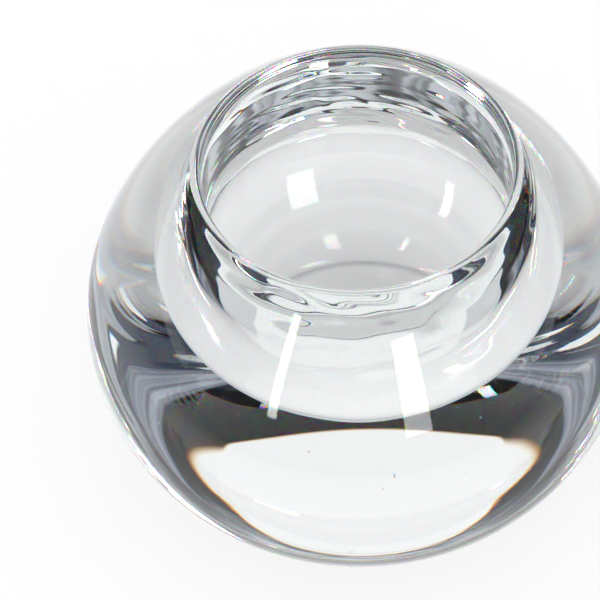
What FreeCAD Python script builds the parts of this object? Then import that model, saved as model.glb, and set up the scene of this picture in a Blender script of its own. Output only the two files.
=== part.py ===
"""Glass candle bowl: one heavy casting of clear glass with a deep well for a floating candle.

The bowl is a squashed ball standing on a ground flat. Its outline is a chain of arcs that
run into each other: the round edge of the foot, a lower arc up to the girdle, which is the
widest ring, a tight belly arc just above the girdle, and a long shoulder arc up to the rim.
The rim is fire-polished to one small arc. The well drops from it as a straight cylinder,
turns a soft corner and ends in a hollow round bottom, over a thick base that acts as a lens.

Frame: origin at the centre of the ground flat, +Z up along the axis of the bowl, millimetres.
"""

import FreeCAD, Part
import enum
import math
import os
import Sketcher

OUTPUT_FOLDER = "parts"

# Driving dimensions in millimetres, except the share
SIZES = [
    ("outer_diameter", 90.0, "across the girdle, the widest ring"),
    ("overall_height", 62.5, "from the ground flat to the top of the rim"),
    ("girdle_height", 28.0, "from the ground flat to the girdle"),
    ("foot_diameter", 56.5, "of the ground flat"),
    ("foot_edge_radius", 6.0, "of the round edge of the foot"),
    ("belly_share", 0.84, "of the rise from girdle to rim, the radius of the belly arc"),
    ("shoulder_radius", 69.0, "of the long arc from the belly to the rim"),
    ("rim_radius", 1.0, "of the fire-polished rim"),
    ("well_diameter", 49.0, "of the straight wall of the well"),
    ("well_corner_radius", 4.0, "where the wall of the well turns into its bottom"),
    ("well_bottom_radius", 33.0, "of the hollow round bottom of the well"),
    ("base_thickness", 22.0, "of solid glass under the middle of the well"),
]


class PointOf(enum.IntEnum):
    """The points of a stretch of an outline that a constraint can hold."""

    START = 1
    END = 2
    CENTRE = 3


class SketchAxis(enum.IntEnum):
    """The fixed lines of a sketch: its own x and y."""

    X = -1
    Y = -2


SKETCH_ORIGIN = (SketchAxis.X, PointOf.START)
DOWNWARD = -math.pi / 2


def make_sizes(document):
    """Write the driving dimensions into a spreadsheet, one row each, with an alias."""
    sheet = document.addObject("Spreadsheet::Sheet", "Sizes")
    for row, (alias, value, meaning) in enumerate(SIZES, start=1):
        sheet.set(f"A{row}", alias)
        sheet.set(f"B{row}", str(value))
        sheet.set(f"C{row}", meaning)
        sheet.setAlias(f"B{row}", alias)
    document.recompute()
    return sheet


def origin_feature(body, role):
    """Return the body's own origin plane or axis that has this role."""
    for feature in body.Origin.OriginFeatures:
        if feature.Role == role:
            return feature
    raise ValueError(f"{body.Label} has no {role}")


def point(x, y):
    """Return a point in the sketch's plane."""
    return FreeCAD.Vector(x, y, 0)


def line(x1, y1, x2, y2):
    """Return a straight stretch of an outline."""
    return Part.LineSegment(point(x1, y1), point(x2, y2))


def arc(centre, radius, start_angle, end_angle):
    """Return a round stretch of an outline, counter-clockwise, angles in radians."""
    circle = Part.Circle(centre, FreeCAD.Vector(0, 0, 1), radius)
    return Part.ArcOfCircle(circle, start_angle, end_angle)


def direction(start, end):
    """Return the angle, in radians, of the line from one point to another."""
    return math.atan2(end.y - start.y, end.x - start.x)


def point_between(first, first_distance, second, second_distance):
    """Return the point at these distances from two others, on the left going first to second."""
    span = second - first
    along = (first_distance**2 - second_distance**2 + span.Length**2) / (2 * span.Length)
    aside = math.sqrt(first_distance**2 - along**2)
    unit = FreeCAD.Vector(span).normalize()
    return first + unit * along + point(-unit.y, unit.x) * aside


def constrain(sketch, kind, *places):
    """Add a constraint that has no dimension."""
    sketch.addConstraint(Sketcher.Constraint(kind, *places))


def drive(sketch, name, formula, kind, *places):
    """Add a dimension to a sketch and tie it to the spreadsheet."""
    index = sketch.addConstraint(Sketcher.Constraint(kind, *places))
    sketch.renameConstraint(index, name)
    sketch.setExpression(f"Constraints.{name}", formula)


def draw_section(body, sizes):
    """Draw half of the glass as it would be sawn through: outside, rim, well and axis."""
    sketch = body.newObject("Sketcher::SketchObject", "glass_section")
    sketch.AttachmentSupport = [(origin_feature(body, "XZ_Plane"), "")]
    sketch.MapMode = "FlatFace"
    start, end, centre = PointOf.START, PointOf.END, PointOf.CENTRE

    girdle = sizes.outer_diameter / 2
    middle = sizes.girdle_height
    foot = sizes.foot_diameter / 2
    edge = sizes.foot_edge_radius
    undercut = girdle - foot
    lower = ((middle - edge) ** 2 + undercut**2 - edge**2) / (2 * (undercut - edge))
    belly = sizes.belly_share * (sizes.overall_height - middle)
    shoulder = sizes.shoulder_radius
    rim = sizes.rim_radius
    well = sizes.well_diameter / 2
    corner = sizes.well_corner_radius
    bottom = sizes.well_bottom_radius
    base = sizes.base_thickness

    edge_centre = point(foot, edge)
    lower_centre = point(girdle - lower, middle)
    belly_centre = point(girdle - belly, middle)
    rim_centre = point(well + rim, sizes.overall_height - rim)
    shoulder_centre = point_between(belly_centre, shoulder - belly, rim_centre, shoulder - rim)
    bottom_centre = point(0, base + bottom)
    corner_drop = math.sqrt((bottom - corner) ** 2 - (well - corner) ** 2)
    corner_centre = point(well - corner, bottom_centre.y - corner_drop)
    edge_end = direction(lower_centre, edge_centre)
    belly_end = direction(shoulder_centre, belly_centre)
    shoulder_end = direction(shoulder_centre, rim_centre)
    bottom_end = direction(bottom_centre, corner_centre)

    flat = sketch.addGeometry(line(0, 0, foot, 0))
    edge_arc = sketch.addGeometry(arc(edge_centre, edge, DOWNWARD, edge_end))
    lower_arc = sketch.addGeometry(arc(lower_centre, lower, edge_end, 0))
    belly_arc = sketch.addGeometry(arc(belly_centre, belly, 0, belly_end))
    shoulder_arc = sketch.addGeometry(arc(shoulder_centre, shoulder, belly_end, shoulder_end))
    rim_arc = sketch.addGeometry(arc(rim_centre, rim, shoulder_end, math.pi))
    wall = sketch.addGeometry(line(well, rim_centre.y, well, corner_centre.y))
    corner_arc = sketch.addGeometry(arc(corner_centre, corner, bottom_end, 0))
    bottom_arc = sketch.addGeometry(arc(bottom_centre, bottom, DOWNWARD, bottom_end))
    axis = sketch.addGeometry(line(0, base, 0, 0))

    constrain(sketch, "Coincident", flat, start, *SKETCH_ORIGIN)
    constrain(sketch, "Horizontal", flat)
    constrain(sketch, "Tangent", flat, end, edge_arc, start)
    constrain(sketch, "Tangent", edge_arc, end, lower_arc, start)
    constrain(sketch, "Coincident", lower_arc, end, belly_arc, start)
    constrain(sketch, "Horizontal", lower_arc, centre, lower_arc, end)
    constrain(sketch, "Horizontal", belly_arc, centre, belly_arc, start)
    constrain(sketch, "Tangent", belly_arc, end, shoulder_arc, start)
    constrain(sketch, "Tangent", shoulder_arc, end, rim_arc, start)
    constrain(sketch, "Tangent", rim_arc, end, wall, start)
    constrain(sketch, "Vertical", wall)
    constrain(sketch, "Tangent", wall, end, corner_arc, end)
    constrain(sketch, "Tangent", corner_arc, start, bottom_arc, end)
    constrain(sketch, "PointOnObject", bottom_arc, centre, SketchAxis.Y)
    constrain(sketch, "PointOnObject", bottom_arc, start, SketchAxis.Y)
    constrain(sketch, "Coincident", bottom_arc, start, axis, start)
    constrain(sketch, "Coincident", axis, end, flat, start)

    def reach(name, geometry, place, value, formula):
        """Drive how far a point stands out from the axis."""
        drive(sketch, name, formula, "DistanceX", *SKETCH_ORIGIN, geometry, place, value)

    def rise(name, geometry, place, value, formula):
        """Drive how high a point stands above the ground flat."""
        drive(sketch, name, formula, "DistanceY", *SKETCH_ORIGIN, geometry, place, value)

    reach("foot", flat, end, foot, "Sizes.foot_diameter / 2")
    drive(sketch, "edge", "Sizes.foot_edge_radius", "Radius", edge_arc, edge)
    reach("girdle", belly_arc, start, girdle, "Sizes.outer_diameter / 2")
    rise("middle", belly_arc, start, middle, "Sizes.girdle_height")
    belly_formula = "Sizes.belly_share * (Sizes.overall_height - Sizes.girdle_height)"
    drive(sketch, "belly", belly_formula, "Radius", belly_arc, belly)
    drive(sketch, "shoulder", "Sizes.shoulder_radius", "Radius", shoulder_arc, shoulder)
    drive(sketch, "rim", "Sizes.rim_radius", "Radius", rim_arc, rim)
    rise("top", rim_arc, centre, rim_centre.y, "Sizes.overall_height - Sizes.rim_radius")
    reach("well", wall, start, well, "Sizes.well_diameter / 2")
    drive(sketch, "corner", "Sizes.well_corner_radius", "Radius", corner_arc, corner)
    drive(sketch, "bottom", "Sizes.well_bottom_radius", "Radius", bottom_arc, bottom)
    rise("base", bottom_arc, start, base, "Sizes.base_thickness")
    return sketch


def make_glass_bowl(document, sizes):
    """Make the whole bowl: its section, turned once about the axis."""
    body = document.addObject("PartDesign::Body", "glass_bowl")
    body.Label = "glass_bowl"
    body.Placement = FreeCAD.Placement()

    sketch = draw_section(body, sizes)
    casting = body.newObject("PartDesign::Revolution", "casting")
    casting.Profile = sketch
    casting.ReferenceAxis = (origin_feature(body, "Z_Axis"), [""])
    casting.Angle = 360
    sketch.Visibility = False
    document.recompute()
    return body


def check_document(document):
    """Stop if any object of the document failed to compute."""
    for item in document.Objects:
        if "Invalid" in item.State or "Error" in item.State:
            raise ValueError(f"{item.Label} failed: {item.State}")


def write_step(body):
    """Check a sub-part's shape and write it to its own STEP file."""
    shape = body.Shape
    if shape.isNull() or not shape.isValid() or len(shape.Solids) != 1:
        raise ValueError(f"{body.Label} is not one valid solid")
    shape.exportStep(os.path.join(OUTPUT_FOLDER, f"{body.Label}.step"))
    print(f"{body.Label}: volume {shape.Volume:.0f} mm3, faces {len(shape.Faces)}")


def main():
    """Build the document, check it and write each sub-part."""
    os.makedirs("parts", exist_ok=True)
    document = FreeCAD.newDocument("candle_bowl")
    sizes = make_sizes(document)
    bodies = [make_glass_bowl(document, sizes)]
    check_document(document)
    for body in bodies:
        write_step(body)


main()
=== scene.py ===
"""The candle bowl in a small white studio: one casting of clear glass on a pale table.

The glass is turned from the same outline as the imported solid, with the slight waves that
hand-finished glass has, and it is dressed as real glass. What shows inside it is what
stands round it: the white table, a white board behind, grey cards at the sides, two tall
soft lights in front and the dark room above. Lengths are in metres and angles in radians,
unless a name says so.
"""

import logging
import math
import random
from dataclasses import dataclass, field
from enum import Enum
from typing import Any, Mapping, Union

import bpy
import numpy as np
from mathutils import Matrix, Vector


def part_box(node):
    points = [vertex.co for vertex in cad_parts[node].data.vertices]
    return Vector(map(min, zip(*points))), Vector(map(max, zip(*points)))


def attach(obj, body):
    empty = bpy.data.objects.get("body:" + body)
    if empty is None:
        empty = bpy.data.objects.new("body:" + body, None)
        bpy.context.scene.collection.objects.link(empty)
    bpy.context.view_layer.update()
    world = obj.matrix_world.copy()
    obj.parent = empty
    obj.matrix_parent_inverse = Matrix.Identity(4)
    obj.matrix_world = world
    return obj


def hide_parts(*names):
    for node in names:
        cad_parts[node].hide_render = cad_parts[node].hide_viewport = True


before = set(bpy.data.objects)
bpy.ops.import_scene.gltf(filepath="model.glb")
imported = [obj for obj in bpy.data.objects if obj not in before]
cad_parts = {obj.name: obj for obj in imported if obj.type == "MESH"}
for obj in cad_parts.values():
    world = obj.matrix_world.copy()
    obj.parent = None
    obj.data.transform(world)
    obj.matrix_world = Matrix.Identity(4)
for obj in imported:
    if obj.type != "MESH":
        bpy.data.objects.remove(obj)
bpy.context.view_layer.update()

MILLIMETRE = 0.001
LIGHT_CROSSINGS = 32
log = logging.getLogger("candle_bowl")


class Ray(Enum):
    """The kinds of ray that a finish can tell apart."""

    CAMERA = "Is Camera Ray"
    GLOSSY = "Is Glossy Ray"
    TRANSMISSION = "Is Transmission Ray"


class Wire:
    """A value in a node tree, with arithmetic that adds the Math nodes it stands for."""

    def __init__(self, desk: "NodeDesk", socket: bpy.types.NodeSocket) -> None:
        """Wrap a socket.

        Args:
            desk: The desk that the socket's node stands on.
            socket: The output socket that carries the value.
        """
        self.desk = desk
        self.socket = socket

    def math(self, operation: str, *others: "Value") -> "Wire":
        """Add a Math node that starts from this value.

        Args:
            operation: The Math node's operation.
            others: Its further inputs.

        Returns:
            The node's result.
        """
        inputs = dict(enumerate((self, *others)))
        return self.desk.node("ShaderNodeMath", inputs, operation=operation)

    def __add__(self, other: "Value") -> "Wire":
        """Return self + other."""
        return self.math("ADD", other)

    def __radd__(self, other: "Value") -> "Wire":
        """Return other + self."""
        return self.math("ADD", other)

    def __sub__(self, other: "Value") -> "Wire":
        """Return self - other."""
        return self.math("SUBTRACT", other)

    def __rsub__(self, other: float) -> "Wire":
        """Return other - self."""
        return self.math("MULTIPLY_ADD", -1.0, other)

    def __mul__(self, other: "Value") -> "Wire":
        """Return self * other."""
        return self.math("MULTIPLY", other)

    def __rmul__(self, other: "Value") -> "Wire":
        """Return other * self."""
        return self.math("MULTIPLY", other)

    def __abs__(self) -> "Wire":
        """Return the value without its sign."""
        return self.math("ABSOLUTE")

    def larger(self, other: "Value") -> "Wire":
        """Return the larger of two values."""
        return self.math("MAXIMUM", other)

    def fade(self, none: float, full: float) -> "Wire":
        """Fade softly from 0 to 1.

        Args:
            none: The value at which the result is 0.
            full: The value at which the result is 1, above or below the other.

        Returns:
            The faded value.
        """
        inputs = {"Value": self, "From Min": none, "From Max": full}
        return self.desk.node("ShaderNodeMapRange", inputs, interpolation_type="SMOOTHSTEP")


Value = Union[Wire, float, tuple]


class NodeDesk:
    """An emptied node tree on which a finish is wired up."""

    def __init__(self, owner: Union[bpy.types.Material, bpy.types.World]) -> None:
        """Clear the owner's node tree and take it over.

        Args:
            owner: The material or world that the nodes belong to.
        """
        owner.use_nodes = True
        self.tree = owner.node_tree
        self.tree.nodes.clear()

    def node(
        self,
        kind: str,
        inputs: Mapping[Union[str, int], Value],
        output: Union[str, int] = 0,
        **settings: Any,
    ) -> Wire:
        """Add one node.

        Args:
            kind: The node's type.
            inputs: Values or wires by the name or number of the input.
            output: The name or number of the output that is wanted.
            settings: The node's own settings, made before its inputs.

        Returns:
            The wanted output.
        """
        made = self.tree.nodes.new(kind)
        for name, setting in settings.items():
            setattr(made, name, setting)
        for place, value in inputs.items():
            if isinstance(value, Wire):
                self.tree.links.new(value.socket, made.inputs[place])
            else:
                made.inputs[place].default_value = value
        return Wire(self, made.outputs[output] if len(made.outputs) else None)

    def blend_colours(self, share: Value, first: Value, second: Value) -> Wire:
        """Mix two colours.

        Args:
            share: How much of the second colour there is.
            first: The colour at share 0.
            second: The colour at share 1.

        Returns:
            The mixed colour.
        """
        inputs = {"Factor": share, 6: first, 7: second}
        return self.node("ShaderNodeMix", inputs, output=2, data_type="RGBA")

    def seen_by(self, *rays: Ray) -> Wire:
        """Tell kinds of ray apart.

        Args:
            rays: The kinds that count.

        Returns:
            1 for rays of these kinds and 0 for all others.
        """
        wires = [self.node("ShaderNodeLightPath", {}, output=ray.value) for ray in rays]
        total = wires[0]
        for wire in wires[1:]:
            total = total.larger(wire)
        return total

    def finish_material(self, surface: Wire) -> None:
        """Send the surface to the material's output."""
        self.node("ShaderNodeOutputMaterial", {"Surface": surface})


def grey(value: float) -> tuple:
    """Return an opaque grey of this value."""
    return (value, value, value, 1.0)


@dataclass(frozen=True)
class ClearGlass:
    """Colourless glass that splits white light a little where it enters.

    The split is made only where a ray from the camera enters, in one step, while real
    glass splits the light again at every surface.
    """

    index: float = 1.52
    split: float = 0.0035
    tint: tuple = (0.985, 0.992, 0.99, 1.0)
    scratch_roughness: float = 0.12
    scratch_turn: tuple = (0.3, 0.5, 0.9)
    scratch_pitch: tuple = (70.0, 2600.0, 2600.0)
    scratch_share: tuple = (0.68, 0.72)
    patch_pitch: float = 60.0
    patch_share: tuple = (0.52, 0.6)

    def material(self, name: str) -> bpy.types.Material:
        """Make the material.

        Args:
            name: What to call it.

        Returns:
            The clear glass.
        """
        made = bpy.data.materials.new(name)
        desk = NodeDesk(made)
        rough = self.scratches(desk) * self.scratch_roughness
        surface = self.glass(desk, self.tint, self.index, rough)
        if self.split:
            past_entry = 1.0 - desk.seen_by(Ray.CAMERA)
            split = self.split_light(desk, rough)
            surface = desk.node("ShaderNodeMixShader", {0: past_entry, 1: split, 2: surface})
        desk.finish_material(surface)
        return made

    def glass(self, desk: NodeDesk, colour: tuple, index: float, rough: Wire) -> Wire:
        """Make one glass shader.

        Args:
            desk: The desk of the glass.
            colour: What it lets through.
            index: How strongly it bends light.
            rough: How rough it is.

        Returns:
            The shader.
        """
        return desk.node("ShaderNodeBsdfGlass", {"Color": colour, "IOR": index, "Roughness": rough})

    def split_light(self, desk: NodeDesk, rough: Wire) -> Wire:
        """Make three glasses, each of which bends one colour of light by its own amount.

        Args:
            desk: The desk of the glass.
            rough: How rough the glass is.

        Returns:
            The even mix of the three.
        """
        mixed = None
        offsets = (-self.split, 0.0, self.split)
        for channel, offset in enumerate(offsets):
            colour = [0.0, 0.0, 0.0, 1.0]
            colour[channel] = len(offsets) * self.tint[channel]
            glass = self.glass(desk, tuple(colour), self.index + offset, rough)
            if mixed is None:
                mixed = glass
            else:
                mixed = desk.node("ShaderNodeMixShader", {0: 1.0 / (channel + 1), 1: mixed, 2: glass})
        return mixed

    def scratches(self, desk: NodeDesk) -> Wire:
        """Draw the few hair-thin scratches that handling leaves, in patches.

        Args:
            desk: The desk of the glass.

        Returns:
            1 on a scratch and 0 beside it.
        """
        place = desk.node("ShaderNodeTexCoord", {}, output="Object")
        drawn = {"Vector": place, "Rotation": self.scratch_turn, "Scale": self.scratch_pitch}
        stretched = desk.node("ShaderNodeMapping", drawn)
        hairs = desk.node("ShaderNodeTexNoise", {"Vector": stretched, "Scale": 1.0, "Detail": 1.0})
        spread = {"Vector": place, "Scale": self.patch_pitch, "Detail": 1.0}
        patches = desk.node("ShaderNodeTexNoise", spread)
        return hairs.fade(*self.scratch_share) * patches.fade(*self.patch_share)


@dataclass(frozen=True)
class PaleTable:
    """A white matt table top that the eye takes for pure white, with a soft shadow left in it.

    Through the glass it has a painted pool of light and shade: brighter in front and to the right,
    where the bowl would gather the light, than behind, and a painted contact shadow where the edge
    of the foot comes close to it. What the glass mirrors of it is painted dark with the distance, a
    painted shade as in a room that is lit only round the bowl.
    """

    colour: tuple = (0.86, 0.86, 0.87, 1.0)
    # Painted light and shade for the table seen through the glass: darker behind, lighter in front.
    shaded_back_in_glass: tuple = (0.68, 0.68, 0.71, 1.0)
    lit_front_in_glass: tuple = (0.90, 0.90, 0.91, 1.0)
    # Painted contact shadow: a thin darker ring round the edge of the foot, seen through the glass.
    painted_contact_shadow: tuple = (0.70, 0.70, 0.73, 1.0)
    contact_shadow_radius: float = 28.5 * MILLIMETRE
    contact_shadow_inside: float = 0.93
    contact_shadow_outside: float = 1.02
    light_pool_way: tuple = (0.5, -0.87, 0.0)
    light_pool_back: float = -40.0 * MILLIMETRE
    light_pool_front: float = 50.0 * MILLIMETRE
    glow: float = 0.8
    glow_in_glass: float = 0.55
    # Painted shade: how far out the table, as the glass mirrors it, is painted dark.
    mirrored_near: float = 0.08
    mirrored_far: float = 0.35
    mirrored_dark: float = 0.02

    def material(self) -> bpy.types.Material:
        """Make the material.

        Returns:
            The table's white.
        """
        made = bpy.data.materials.new("pale_table")
        desk = NodeDesk(made)
        in_glass = desk.seen_by(Ray.TRANSMISSION)
        place = desk.node("ShaderNodeTexCoord", {}, output="Object")
        # Painted pool of light and shade: through the glass the table is painted darker behind and lighter
        # in front and to the right, where the bowl would gather the light.
        along = {0: place, 1: self.light_pool_way}
        painted_light_pool = desk.node("ShaderNodeVectorMath", along, output="Value", operation="DOT_PRODUCT")
        painted_light_pool = painted_light_pool.fade(self.light_pool_back, self.light_pool_front)
        painted_light_and_shade = desk.blend_colours(painted_light_pool, self.shaded_back_in_glass, self.lit_front_in_glass)
        reach = desk.node("ShaderNodeVectorMath", {0: place}, output="Value", operation="LENGTH")
        # Painted contact shadow: through the glass the table is painted darker in a thin ring round the edge
        # of the foot.
        edge = self.contact_shadow_radius
        contact_shadow_mask = reach.fade(self.contact_shadow_inside * edge, edge)
        contact_shadow_mask = contact_shadow_mask * reach.fade(self.contact_shadow_outside * edge, edge) * in_glass
        colour = desk.blend_colours(in_glass, self.colour, painted_light_and_shade)
        colour = desk.blend_colours(contact_shadow_mask, colour, self.painted_contact_shadow)
        # The white glow carries the painted contact shadow too.
        glow = desk.blend_colours(contact_shadow_mask, grey(1.0), self.painted_contact_shadow)
        matt = desk.node("ShaderNodeBsdfDiffuse", {"Color": colour})
        white = desk.node("ShaderNodeEmission", {"Color": glow, "Strength": 1.0})
        direct = desk.seen_by(Ray.CAMERA, Ray.GLOSSY) * (1.0 - in_glass) * self.glow
        share = direct + in_glass * self.glow_in_glass
        lit = desk.node("ShaderNodeMixShader", {0: share, 1: matt, 2: white})
        # Painted shade: the table as the glass mirrors it turns dark with distance from the bowl, as if the
        # room were lit only round it.
        unlit = desk.node("ShaderNodeBsdfDiffuse", {"Color": grey(self.mirrored_dark)})
        far = reach.fade(self.mirrored_near, self.mirrored_far)
        mirrored = desk.seen_by(Ray.GLOSSY) * (1.0 - in_glass) * far
        desk.finish_material(desk.node("ShaderNodeMixShader", {0: mirrored, 1: lit, 2: unlit}))
        return made


@dataclass(frozen=True)
class Run:
    """A straight stretch of an outline, in even steps."""

    end: tuple
    steps: int

    def draw(self, start: Vector) -> Vector:
        """Extrude the selected point along the stretch.

        Args:
            start: Where the selected point is, as distance from the axis and height.

        Returns:
            Where it ends.
        """
        end = Vector(self.end)
        step = (end - start) / self.steps
        move = {"value": (step.x, 0.0, step.y)}
        for _ in range(self.steps):
            bpy.ops.mesh.extrude_region_move(TRANSFORM_OT_translate=move)
        return end


@dataclass(frozen=True)
class Bend:
    """A round stretch of an outline, counter-clockwise where the sweep is positive."""

    centre: tuple
    sweep: float
    steps: int

    def draw(self, start: Vector) -> Vector:
        """Spin the selected point round the centre.

        Args:
            start: Where the selected point is, as distance from the axis and height.

        Returns:
            Where it ends.
        """
        centre = Vector(self.centre)
        place = (centre.x, 0.0, centre.y)
        # The spin turns left-handed, so this axis gives a counter-clockwise bend.
        bpy.ops.mesh.spin(steps=self.steps, angle=self.sweep, center=place, axis=(0.0, 1.0, 0.0))
        return centre + Matrix.Rotation(self.sweep, 2) @ (start - centre)


def direction(start: Vector, end: Vector) -> float:
    """Return the angle of the line from one point to another."""
    return math.atan2(end.y - start.y, end.x - start.x)


@dataclass(frozen=True)
class Wave:
    """One gentle wave that runs round and up a wall of glass."""

    depth: float
    waves_round: int
    waves_per_metre: float
    phase: float

    def height(self, turn: np.ndarray, rise: np.ndarray) -> np.ndarray:
        """Return how far the wave lifts the surface at these places."""
        up = 2.0 * math.pi * self.waves_per_metre * rise
        return self.depth * np.sin(self.waves_round * turn + up + self.phase)


@dataclass(frozen=True)
class HandOfTheMaker:
    """The unevenness that finishing by hand leaves in a wall of glass.

    It is a number of waves, each at most so deep, with at most so many round the wall and
    so many to the metre up it.
    """

    seed: int
    depth: float
    count: int
    most_round: int
    most_per_metre: float

    def waves(self) -> list[Wave]:
        """Draw the waves, the shorter ones shallower.

        Returns:
            The waves, the same ones each time.
        """
        dice = random.Random(self.seed)
        drawn = []
        for _ in range(self.count):
            waves_round = dice.randint(1, self.most_round)
            per_metre = dice.uniform(-self.most_per_metre, self.most_per_metre)
            steepness = 1.0 + waves_round / self.most_round + abs(per_metre) / self.most_per_metre
            phase = dice.uniform(0.0, math.tau)
            drawn.append(Wave(self.depth / steepness, waves_round, per_metre, phase))
        return drawn

    def height(self, turn: np.ndarray, rise: np.ndarray) -> np.ndarray:
        """Return how far the surface is lifted at these places."""
        return sum(wave.height(turn, rise) for wave in self.waves())


@dataclass
class GlassBowl:
    """The casting: a squashed ball of glass with a round-bottomed well.

    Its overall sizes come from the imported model, and the others are the ones that the
    model is drawn from. The waves are calmer at the sides of the well, and the short ones
    high up are only at its back. The outside has long waves and almost level rings.
    """

    girdle_radius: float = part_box("glass_bowl")[1].x
    height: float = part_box("glass_bowl")[1].z
    girdle_height: float = 28.0 * MILLIMETRE
    foot_radius: float = 28.25 * MILLIMETRE
    foot_edge_radius: float = 6.0 * MILLIMETRE
    belly_share: float = 0.84
    shoulder_radius: float = 69.0 * MILLIMETRE
    rim_radius: float = 1.0 * MILLIMETRE
    well_radius: float = 24.5 * MILLIMETRE
    well_corner_radius: float = 4.0 * MILLIMETRE
    well_bottom_radius: float = 33.0 * MILLIMETRE
    base_thickness: float = 22.0 * MILLIMETRE
    calm_sides: float = 0.3
    upper_start: float = 0.66
    upper_full: float = 0.78
    upper_lean: float = 0.3
    rim_fade: float = 4.0 * MILLIMETRE
    groove_share: float = 0.95
    groove_depth: float = 0.025 * MILLIMETRE
    weld: float = 0.002 * MILLIMETRE
    steps_round: int = 320
    wall: HandOfTheMaker = HandOfTheMaker(11, 0.028 * MILLIMETRE, 16, 16, 230.0)
    outside: HandOfTheMaker = HandOfTheMaker(5, 0.006 * MILLIMETRE, 8, 7, 60.0)
    upper_wall: HandOfTheMaker = HandOfTheMaker(23, 0.06 * MILLIMETRE, 22, 15, 560.0)
    rings: HandOfTheMaker = HandOfTheMaker(3, 0.004 * MILLIMETRE, 5, 1, 190.0)
    finish: ClearGlass = field(default_factory=ClearGlass)

    def outline(self) -> list[Union[Run, Bend]]:
        """Work out the outline, from the middle of the foot round to the middle of the well.

        Returns:
            Its stretches in order.
        """
        undercut = self.girdle_radius - self.foot_radius
        edge = self.foot_edge_radius
        lower = (self.girdle_height - edge) ** 2 + undercut**2 - edge**2
        lower /= 2 * (undercut - edge)
        belly = self.belly_share * (self.height - self.girdle_height)
        shoulder, rim = self.shoulder_radius, self.rim_radius
        corner, bottom = self.well_corner_radius, self.well_bottom_radius

        edge_centre = Vector((self.foot_radius, edge))
        lower_centre = Vector((self.girdle_radius - lower, self.girdle_height))
        belly_centre = Vector((self.girdle_radius - belly, self.girdle_height))
        rim_centre = Vector((self.well_radius + rim, self.height - rim))
        span = rim_centre - belly_centre
        along = (shoulder - belly) ** 2 - (shoulder - rim) ** 2 + span.length_squared
        along /= 2 * span.length
        aside = math.sqrt((shoulder - belly) ** 2 - along**2)
        unit = span.normalized()
        shoulder_centre = belly_centre + along * unit + aside * Vector((-unit.y, unit.x))
        bottom_centre = Vector((0.0, self.base_thickness + bottom))
        corner_reach = self.well_radius - corner
        corner_drop = math.sqrt((bottom - corner) ** 2 - corner_reach**2)
        corner_centre = Vector((corner_reach, bottom_centre.y - corner_drop))

        edge_end = direction(lower_centre, edge_centre)
        belly_end = direction(shoulder_centre, belly_centre)
        shoulder_end = direction(shoulder_centre, rim_centre)
        bottom_end = direction(bottom_centre, corner_centre)
        down = -math.pi / 2
        return [
            Run((self.groove_share * self.foot_radius, 0.0), steps=10),
            Run((self.foot_radius, 0.0), steps=8),
            Bend(edge_centre, edge_end - down, steps=12),
            Bend(lower_centre, -edge_end, steps=56),
            Bend(belly_centre, belly_end, steps=22),
            Bend(shoulder_centre, shoulder_end - belly_end, steps=46),
            Bend(rim_centre, math.pi - shoulder_end, steps=18),
            Run((self.well_radius, corner_centre.y), steps=92),
            Bend(corner_centre, bottom_end, steps=8),
            Bend(bottom_centre, down - bottom_end, steps=38),
        ]

    def build(self) -> bpy.types.Object:
        """Draw the outline, turn it and let the maker's hand into it.

        Returns:
            The dressed glass.
        """
        bpy.ops.object.select_all(action="DESELECT")
        bpy.ops.mesh.primitive_plane_add(size=self.rim_radius, location=(0.0, 0.0, 0.0))
        glass = bpy.context.active_object
        glass.name = glass.data.name = "cast_glass"
        bpy.ops.object.mode_set(mode="EDIT")
        bpy.ops.mesh.merge(type="CENTER")
        place = Vector((0.0, 0.0))
        for stretch in self.outline():
            place = stretch.draw(place)
        bpy.ops.mesh.select_all(action="SELECT")
        axis = (0.0, 0.0, 1.0)
        bpy.ops.mesh.spin(steps=self.steps_round, angle=math.tau, center=(0.0, 0.0, 0.0), axis=axis)
        bpy.ops.mesh.select_all(action="SELECT")
        bpy.ops.mesh.remove_doubles(threshold=self.weld)
        bpy.ops.mesh.normals_make_consistent(inside=False)
        bpy.ops.object.mode_set(mode="OBJECT")
        self.ripple(glass.data)
        bpy.ops.object.shade_smooth()
        glass.data.materials.append(self.finish.material("clear_glass"))
        return glass

    def well_waves(self, turn: np.ndarray, rise: np.ndarray) -> np.ndarray:
        """Work out how far the well's wall stands out.

        Args:
            turn: The angle round the axis of each place.
            rise: The height of each place.

        Returns:
            How far each place moves away from the axis.
        """
        share = (rise / self.height - self.upper_start) / (self.upper_full - self.upper_start)
        upper = np.clip(share, 0.0, 1.0) * np.clip(self.upper_lean + np.sin(turn), 0.0, 1.0)
        calm = self.calm_sides + (1.0 - self.calm_sides) * np.sin(turn) ** 2
        return calm * (self.wall.height(turn, rise) + upper * self.upper_wall.height(turn, rise))

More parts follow.
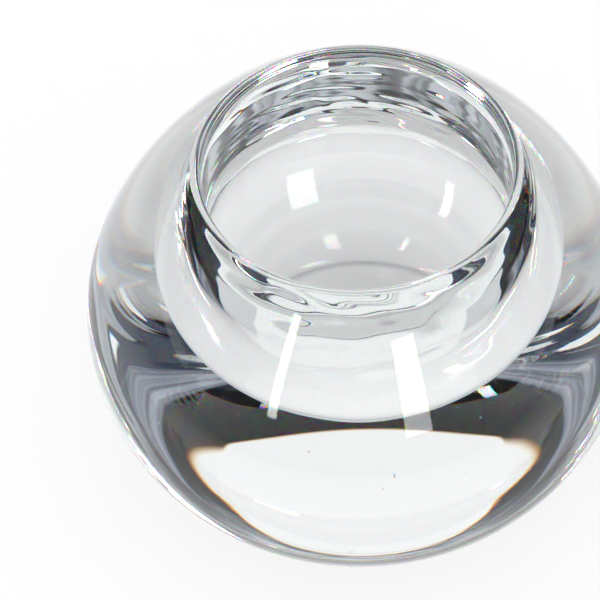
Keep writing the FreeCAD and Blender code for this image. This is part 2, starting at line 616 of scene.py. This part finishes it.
    def ripple(self, mesh: bpy.types.Mesh) -> None:
        """Move the points of the walls in and out as hand work leaves them.

        The ground flat gets the faint ring where the grinding wheel stopped.

        Args:
            mesh: The turned glass.
        """
        places = np.empty(len(mesh.vertices) * 3, dtype=np.float32)
        mesh.vertices.foreach_get("co", places)
        places = places.reshape(-1, 3).astype(np.float64)
        reach = np.hypot(places[:, 0], places[:, 1])
        turn = np.arctan2(places[:, 1], places[:, 0])
        rise = places[:, 2]
        wall_edge = self.well_radius + self.rim_radius / 4
        in_well = (reach < wall_edge) & (rise > self.base_thickness / 2)
        below_rim = np.clip((self.height - self.rim_radius - rise) / self.rim_fade, 0.0, 1.0)
        off_axis = np.clip(reach / self.well_radius, 0.0, 1.0)
        inner = self.well_waves(turn, rise) * below_rim * off_axis
        above_foot = np.clip(rise / self.foot_edge_radius - 1.0, 0.0, 1.0)
        outer = self.outside.height(turn, rise) + self.rings.height(turn, rise)
        outer = (outer - outer.max()) * above_foot * below_rim
        push = np.where(in_well, inner, outer)
        across = (reach / self.foot_radius - self.groove_share) / (1.0 - self.groove_share)
        groove = self.groove_depth * np.sin(math.pi * np.clip(across, 0.0, 1.0)) ** 2
        places[:, 2] += np.where(rise < self.groove_depth, groove, 0.0)
        places[:, 0] += push * np.cos(turn)
        places[:, 1] += push * np.sin(turn)
        mesh.vertices.foreach_set("co", places.astype(np.float32).ravel())
        mesh.update()


@dataclass(frozen=True)
class Bubble:
    """One seed bubble, stretched a little the way the glass flowed."""

    place: tuple
    radius: float
    stretch: float


@dataclass
class SeedBubbles:
    """The few tiny bubbles that stay in a thick casting.

    One in three is under the well, and the others are in the wall round it. Where they
    can be is given as least and most shares of the bowl's own sizes.
    """

    bowl: GlassBowl
    seed: int = 7
    count: int = 70
    smallest: float = 0.03 * MILLIMETRE
    largest: float = 0.10 * MILLIMETRE
    rarity_of_large: int = 3
    longest_stretch: float = 1.8
    ball_fineness: int = 2
    one_under_in: int = 3
    wall_least_reach: float = 1.15
    wall_most_reach: float = 0.9
    wall_rise: tuple = (0.6, 1.3)
    under_reach: tuple = (0.1, 1.1)
    under_rise: tuple = (0.2, 0.8)

    def bubbles(self) -> list[Bubble]:
        """Scatter the bubbles through the thick wall round the well and under it.

        Returns:
            The bubbles, the same ones each time.
        """
        dice = random.Random(self.seed)
        bowl = self.bowl
        most_reach = self.wall_most_reach * bowl.girdle_radius / bowl.well_radius
        spread = []
        for number in range(self.count):
            turn = dice.uniform(0.0, math.tau)
            if number % self.one_under_in:
                reach = dice.uniform(self.wall_least_reach, most_reach) * bowl.well_radius
                rise = dice.uniform(*self.wall_rise) * bowl.girdle_height
            else:
                reach = dice.uniform(*self.under_reach) * bowl.well_radius
                rise = dice.uniform(*self.under_rise) * bowl.base_thickness
            place = (reach * math.cos(turn), reach * math.sin(turn), rise)
            size = dice.random() ** self.rarity_of_large
            radius = self.smallest + (self.largest - self.smallest) * size
            spread.append(Bubble(place, radius, dice.uniform(1.0, self.longest_stretch)))
        return spread

    def add_ball(self, radius: float, place: tuple) -> None:
        """Add one round ball."""
        bpy.ops.mesh.primitive_ico_sphere_add(subdivisions=self.ball_fineness, radius=radius, location=place)

    def build(self) -> bpy.types.Object:
        """Shape the bubbles as one piece.

        Returns:
            The dressed bubbles.
        """
        bpy.ops.object.select_all(action="DESELECT")
        self.add_ball(self.largest, (0.0, 0.0, 0.0))
        piece = bpy.context.active_object
        piece.name = piece.data.name = "seed_bubbles"
        bpy.ops.object.mode_set(mode="EDIT")
        bpy.ops.mesh.delete(type="VERT")
        for bubble in self.bubbles():
            self.add_ball(bubble.radius, bubble.place)
            bpy.ops.transform.resize(value=(1.0, 1.0, bubble.stretch), center_override=bubble.place)
        bpy.ops.mesh.select_all(action="SELECT")
        bpy.ops.mesh.normals_make_consistent(inside=False)
        bpy.ops.object.mode_set(mode="OBJECT")
        bpy.ops.object.shade_smooth()
        air = ClearGlass(1.0 / self.bowl.finish.index, 0.0)
        piece.data.materials.append(air.material("air_in_glass"))
        return piece


@dataclass(frozen=True)
class SoftLight:
    """A tall soft light that stands in front of the bowl and shows as a streak on it."""

    name: str
    side_degrees: float
    low_degrees: float
    high_degrees: float
    width_degrees: float
    away: float
    radiance: float

    def hang(self, target: Vector) -> None:
        """Set the light up, facing the bowl.

        Args:
            target: The place on the bowl that mirrors it.
        """
        side = math.radians(self.side_degrees)
        low = self.away * math.tan(math.radians(self.low_degrees))
        high = self.away * math.tan(math.radians(self.high_degrees))
        width = 2 * self.away * math.tan(math.radians(self.width_degrees) / 2)
        tall = high - low
        lamp = bpy.data.lights.new(self.name, "AREA")
        lamp.shape = "RECTANGLE"
        lamp.size, lamp.size_y = width, tall
        lamp.energy = self.radiance * math.pi * width * tall
        stand = bpy.data.objects.new(self.name, lamp)
        stand.location = target + Vector((math.sin(side), math.cos(side), 0.0)) * self.away
        stand.location.z += (low + high) / 2
        stand.rotation_euler = (target - stand.location).to_track_quat("-Z", "Y").to_euler()
        bpy.context.scene.collection.objects.link(stand)


@dataclass(frozen=True)
class Panel:
    """A part of the room that shows in the glass, given by where it stands, in degrees.

    Sides are counted both ways from straight behind the bowl, and heights from the horizon.
    The sag is how much lower the top edge has come at the sag's side.
    """

    near_side: float
    far_side: float
    low: float
    high: float
    colour: tuple
    blur: float = 1.5
    streaks: float = 0.0
    sag: float = 0.0
    sag_side: float = 30.0

    def cover(self, side: Wire, rise: Wire) -> Wire:
        """Work out where the panel is.

        Args:
            side: The angle away from straight behind.
            rise: The angle above the horizon.

        Returns:
            1 inside the panel and 0 outside it.
        """
        inside = side.fade(self.near_side - self.blur, self.near_side)
        inside = inside * side.fade(self.far_side + self.blur, self.far_side)
        above = rise.fade(self.low - self.blur, self.low)
        out = side * (1.0 / self.sag_side)
        lifted = rise + self.sag * out * out
        return inside * above * lifted.fade(self.high + self.blur, self.high)


@dataclass
class Studio:
    """The table, the room and the lights."""

    table_reach: float = 4.0
    table_gap: float = 0.1 * MILLIMETRE
    room_dark: float = 0.008
    streak_scale: float = 0.12
    streak_fade: tuple = (0.35, 0.6)
    ambient: float = 1.15
    aim_forward: float = 0.8
    aim_up: float = 0.75
    panels: tuple = (
        Panel(125.0, 180.0, 8.0, 58.0, (0.05, 0.055, 0.07, 1.0), blur=3.0, streaks=0.8),
        Panel(122.0, 180.0, 37.5, 43.0, (0.55, 0.57, 0.61, 1.0), blur=2.0, streaks=0.75),
        Panel(60.0, 98.0, 54.0, 78.0, (0.38, 0.41, 0.49, 1.0), blur=4.0, streaks=0.55),
        Panel(40.0, 84.0, 5.0, 40.0, (0.045, 0.055, 0.085, 1.0), blur=5.0),
        Panel(92.0, 112.0, 8.0, 34.0, (0.40, 0.42, 0.47, 1.0), blur=5.0, streaks=0.3),
        Panel(40.0, 70.0, 40.0, 51.5, (0.66, 0.67, 0.69, 1.0), blur=1.5),
        Panel(32.0, 46.0, 2.0, 55.2, (0.93, 0.93, 0.94, 1.0), blur=0.7),
        Panel(-1.0, 34.0, 2.0, 61.3, (0.95, 0.95, 0.96, 1.0), blur=0.7, sag=5.5),
        Panel(-1.0, 105.0, -91.0, 1.0, (0.95, 0.95, 0.96, 1.0), blur=3.0),
        Panel(100.0, 181.0, -91.0, -7.0, (0.95, 0.95, 0.96, 1.0), blur=3.0),
    )
    lights: tuple = (
        SoftLight("narrow_light", -144.5, 5.0, 33.0, width_degrees=4.0, away=1.1, radiance=11.0),
        SoftLight("broad_light", 159.0, 3.0, 30.0, width_degrees=11.0, away=1.1, radiance=7.0),
    )

    def build(self, bowl: GlassBowl) -> None:
        """Set up everything that stands round the bowl.

        Args:
            bowl: The bowl that stands in the studio.
        """
        self.lay_table()
        self.paint_room()
        mirroring = Vector((0.0, -self.aim_forward * bowl.girdle_radius, self.aim_up * bowl.height))
        for light in self.lights:
            light.hang(mirroring)

    def lay_table(self) -> None:
        """Lay the table top just under the foot."""
        bpy.ops.object.select_all(action="DESELECT")
        place = (0.0, 0.0, -self.table_gap)
        bpy.ops.mesh.primitive_plane_add(size=2 * self.table_reach, location=place)
        table = bpy.context.active_object
        table.name = table.data.name = "table_top"
        table.data.materials.append(PaleTable().material())

    def paint_room(self) -> None:
        """Paint the room: plain white to the eye, and dark with its panels in the glass."""
        world = bpy.data.worlds.new("studio")
        bpy.context.scene.world = world
        desk = NodeDesk(world)
        way = desk.node("ShaderNodeTexCoord", {}, output="Generated")
        across, ahead, up = (desk.node("ShaderNodeSeparateXYZ", {0: way}, output=axis) for axis in "XYZ")
        turned = across.math("ARCTAN2", ahead) * (180.0 / math.pi)
        side = abs(turned)
        rise = up.math("ARCSINE") * (180.0 / math.pi)
        noise = {"W": turned * self.streak_scale, "Scale": 1.0, "Detail": 1.5, "Roughness": 0.5}
        streaks = desk.node("ShaderNodeTexNoise", noise, noise_dimensions="1D")
        streaks = streaks.fade(*self.streak_fade)
        room = grey(self.room_dark)
        for panel in self.panels:
            cover = panel.cover(side, rise) * (1.0 - panel.streaks * (1.0 - streaks))
            room = desk.blend_colours(cover, room, panel.colour)
        plain = desk.blend_colours(desk.seen_by(Ray.CAMERA), grey(self.ambient), grey(1.0))
        shown = desk.blend_colours(desk.seen_by(Ray.GLOSSY, Ray.TRANSMISSION), plain, room)
        sky = desk.node("ShaderNodeBackground", {"Color": shown, "Strength": 1.0})
        desk.node("ShaderNodeOutputWorld", {"Surface": sky})


@dataclass
class Photographer:
    """The camera, where it stood for the photograph."""

    height_radians: float = 0.89
    roll_radians: float = -0.025
    away_in_radii: float = 11.0
    nearest_in_radii: float = 0.1
    focal_pixels: float = 3001.5
    frame_pixels: float = 600.0
    subject_pixel: tuple = (360.06, 304.5)
    sensor_millimetres: float = 36.0

    def shoot(self, radius: float, subject: Vector) -> None:
        """Stand the camera in its place and make it the scene's camera.

        Args:
            radius: The bowl's radius.
            subject: The middle of the bowl at the girdle.
        """
        data = bpy.data.cameras.new("camera")
        camera = bpy.data.objects.new("camera", data)
        bpy.context.scene.collection.objects.link(camera)
        cosine, sine = math.cos(self.height_radians), math.sin(self.height_radians)
        back, up = Vector((0.0, -cosine, sine)), Vector((0.0, sine, cosine))
        stand = Matrix((Vector((1.0, 0.0, 0.0)), up, back)).transposed().to_4x4()
        stand.translation = subject + back * self.away_in_radii * radius
        middle = self.frame_pixels / 2
        turn = math.atan2(self.subject_pixel[0] - middle, self.focal_pixels)
        tip = math.atan2(self.subject_pixel[1] - middle, self.focal_pixels)
        roll = Matrix.Rotation(self.roll_radians, 4, "Z")
        aim = Matrix.Rotation(turn, 4, "Y") @ Matrix.Rotation(tip, 4, "X")
        camera.matrix_world = stand @ roll @ aim
        data.sensor_width = self.sensor_millimetres
        data.lens = self.sensor_millimetres * self.focal_pixels / self.frame_pixels
        data.clip_start = self.nearest_in_radii * radius
        bpy.context.scene.camera = camera


def set_up_rendering() -> None:
    """Keep colours plain and let light cross the thick glass as often as it needs."""
    scene = bpy.context.scene
    scene.view_settings.view_transform = "Standard"
    scene.cycles.max_bounces = LIGHT_CROSSINGS
    scene.cycles.transmission_bounces = LIGHT_CROSSINGS
    scene.cycles.glossy_bounces = LIGHT_CROSSINGS


def main() -> None:
    """Build the bowl and the studio round it."""
    logging.basicConfig(level=logging.INFO)
    bowl = GlassBowl()
    subject = Vector((0.0, 0.0, bowl.girdle_height))
    Photographer().shoot(bowl.girdle_radius, subject)
    set_up_rendering()
    glass = bowl.build()
    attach(glass, "root")
    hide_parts("glass_bowl")
    bubbles = SeedBubbles(bowl).build()
    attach(bubbles, "root")
    for piece in (glass, bubbles):
        log.info("%s: %d points", piece.name, len(piece.data.vertices))
    Studio().build(bowl)


if __name__ == "__main__":
    main()
